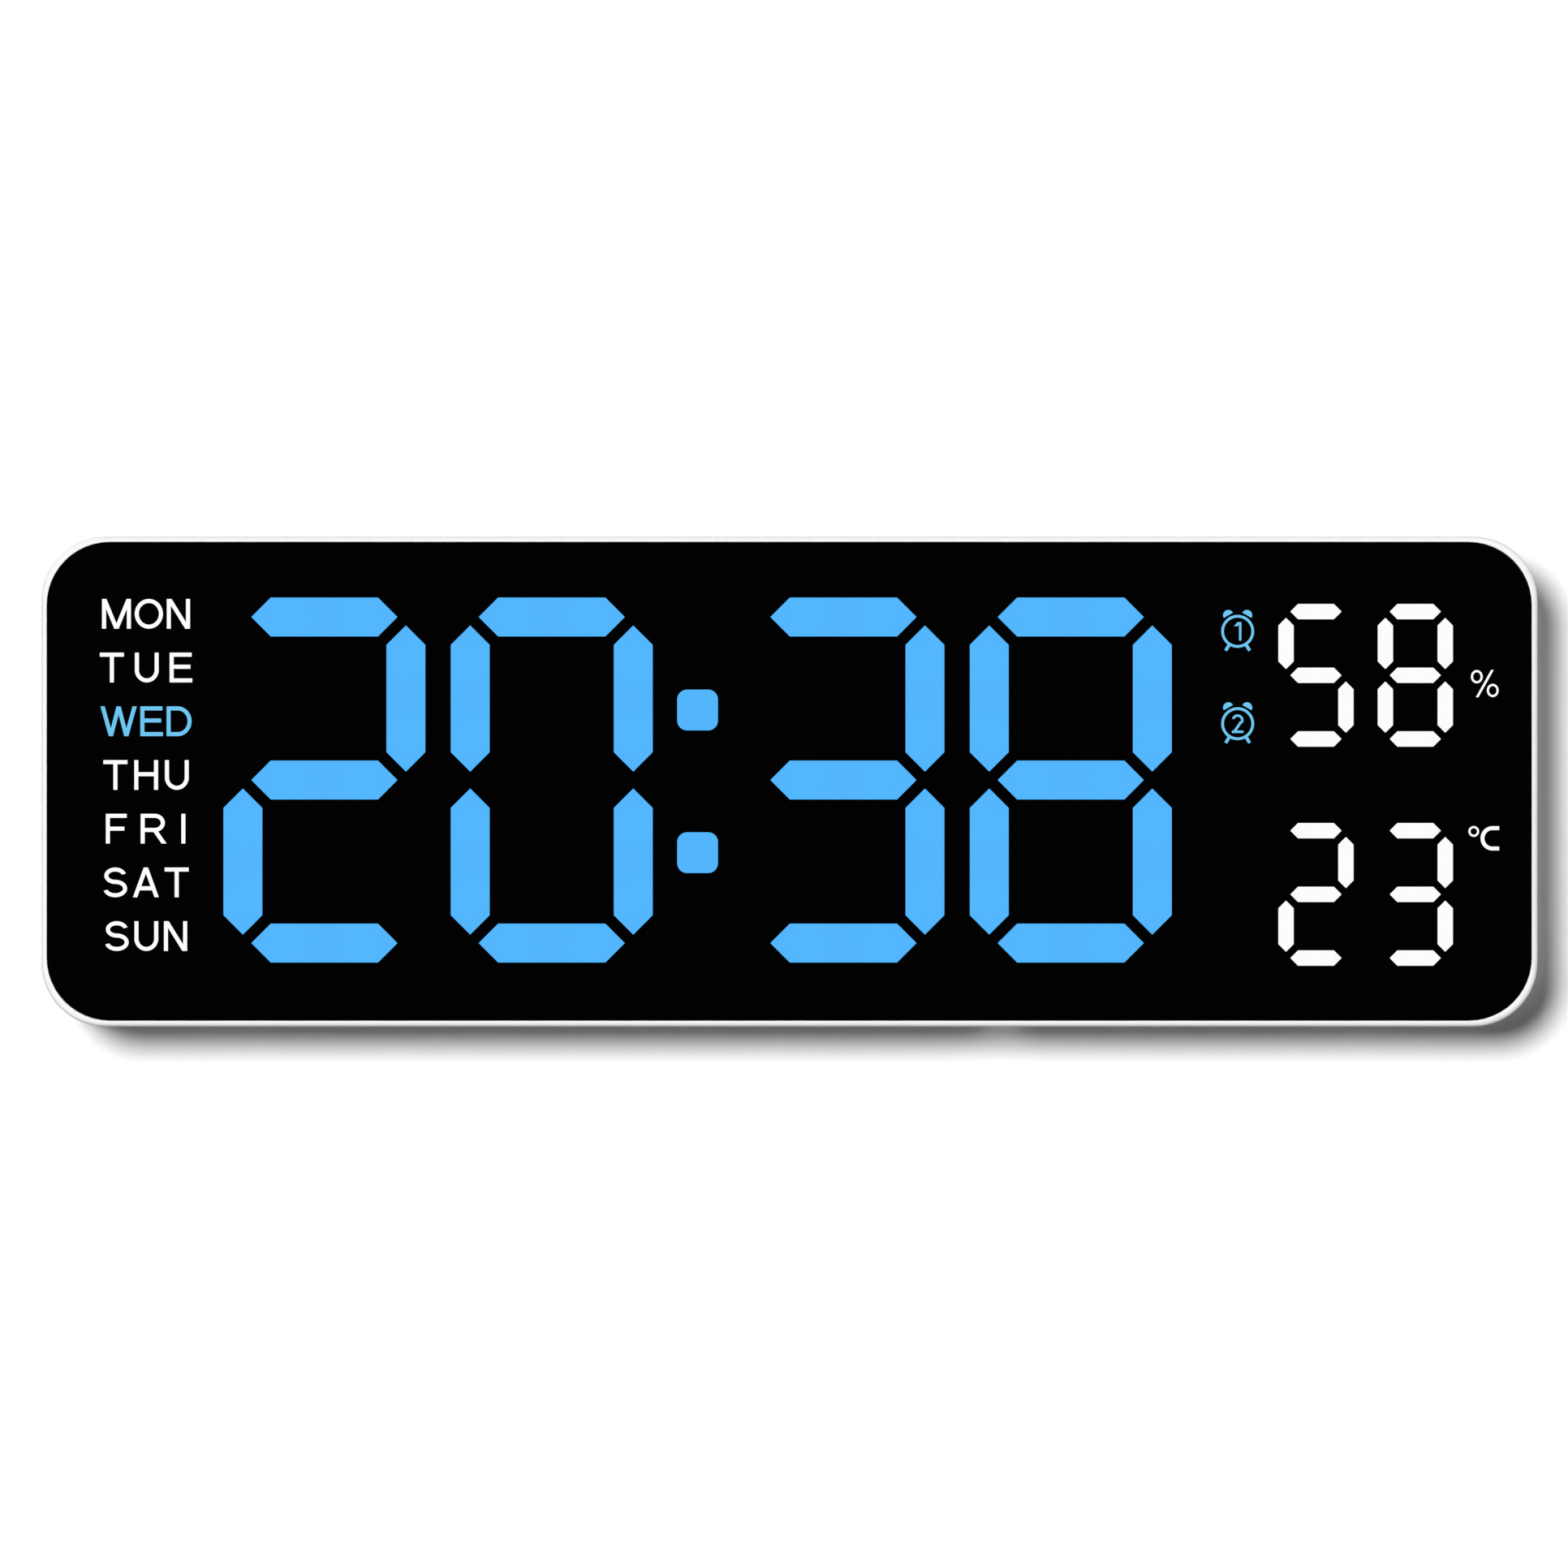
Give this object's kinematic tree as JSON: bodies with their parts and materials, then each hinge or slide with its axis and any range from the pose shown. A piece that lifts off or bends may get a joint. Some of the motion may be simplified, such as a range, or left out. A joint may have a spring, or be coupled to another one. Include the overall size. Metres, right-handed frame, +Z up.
{
  "type": "digital wall clock",
  "caption": "Flat wall clock with a black face of seven-segment light bars for time, humidity and temperature, in a white casing with keyholes and fold-out feet.",
  "frame": {"origin": "centre of the back plane, where the clock lies against the wall", "axes": "+X to the right seen from the front, +Y into the wall, +Z up; the face looks along -Y"},
  "size_m": [0.235, 0.027, 0.077],
  "materials": {
    "white_plastic": "satin white",
    "face_black": "polished black",
    "blue_light": "lit light bar",
    "white_light": "lit light bar",
    "dark_lens": "smoked, unlit",
    "black_tape": "foam tape",
    "reflector_white": "matte white",
    "circuit_board": "solder mask",
    "led_resin": "clear resin",
    "chip_black": "moulded",
    "screw_steel": "zinc plated",
    "plated_metal": "nickel plated",
    "key_plastic": "satin pale grey",
    "plunger_plastic": "moulded"
  },
  "bodies": {
    "clock": {"front_casing": "white_plastic", "front_panel": "face_black", "panel_tape": "black_tape", "hour_tens_bars": "blue_light", "hour_units_bars": "blue_light", "minute_tens_bars": "blue_light", "minute_units_bars": "blue_light", "time_dark_bars": "dark_lens", "colon_dots": "blue_light", "humidity_bars": "white_light", "temperature_bars": "white_light", "climate_dark_bars": "dark_lens", "weekday_windows": "dark_lens", "alarm_windows": "dark_lens", "unit_windows": "dark_lens", "reflector": "reflector_white", "display_board": "circuit_board", "time_leds": "led_resin", "climate_leds": "led_resin", "label_leds": "led_resin", "microcontroller": "chip_black", "led_drivers": "chip_black", "clock_crystal": "plated_metal", "capacitors": "plated_metal", "display_screws": "screw_steel", "board_socket": "chip_black", "board_header": "chip_black", "control_board": "circuit_board", "control_screws": "screw_steel", "usb_shell": "plated_metal", "usb_tongue": "chip_black", "buzzer": "chip_black", "climate_sensor": "reflector_white", "cell_contact": "plated_metal", "cell_clip": "plated_metal", "coin_cell": "plated_metal", "switch_bodies": "chip_black", "rear_cover": "white_plastic", "case_screws": "screw_steel"},
    "set_button": {"set_button": "key_plastic", "set_plunger": "plunger_plastic"},
    "up_button": {"up_button": "key_plastic", "up_plunger": "plunger_plastic"},
    "down_button": {"down_button": "key_plastic", "down_plunger": "plunger_plastic"},
    "alarm_button": {"alarm_button": "key_plastic", "alarm_plunger": "plunger_plastic"},
    "battery_cap": {"battery_cap": "white_plastic"},
    "left_foot": {"left_foot": "white_plastic"},
    "right_foot": {"right_foot": "white_plastic"}
  },
  "joints": [
    {"name": "set_press", "type": "slide", "parent": "clock", "child": "set_button", "axis": [0, -1, 0], "range_m": [0, 0.0005], "stiffness_N_per_m": 500, "springref_m": -0.002},
    {"name": "up_press", "type": "slide", "parent": "clock", "child": "up_button", "axis": [0, -1, 0], "range_m": [0, 0.0005], "stiffness_N_per_m": 500, "springref_m": -0.002},
    {"name": "down_press", "type": "slide", "parent": "clock", "child": "down_button", "axis": [0, -1, 0], "range_m": [0, 0.0005], "stiffness_N_per_m": 500, "springref_m": -0.002},
    {"name": "alarm_press", "type": "slide", "parent": "clock", "child": "alarm_button", "axis": [0, -1, 0], "range_m": [0, 0.0005], "stiffness_N_per_m": 500, "springref_m": -0.002},
    {"name": "battery_cap_turn", "type": "hinge", "parent": "clock", "child": "battery_cap", "pos_m": [-0.034, 0, -0.006], "axis": [0, 1, 0], "range_deg": [0, 45]},
    {"name": "left_foot_fold", "type": "hinge", "parent": "clock", "child": "left_foot", "pos_m": [-0.088, -0.0024, -0.0364], "axis": [-1, 0, 0], "range_deg": [0, 90]},
    {"name": "right_foot_fold", "type": "hinge", "parent": "clock", "child": "right_foot", "pos_m": [0.088, -0.0024, -0.0364], "axis": [-1, 0, 0], "range_deg": [0, 90]}
  ]
}
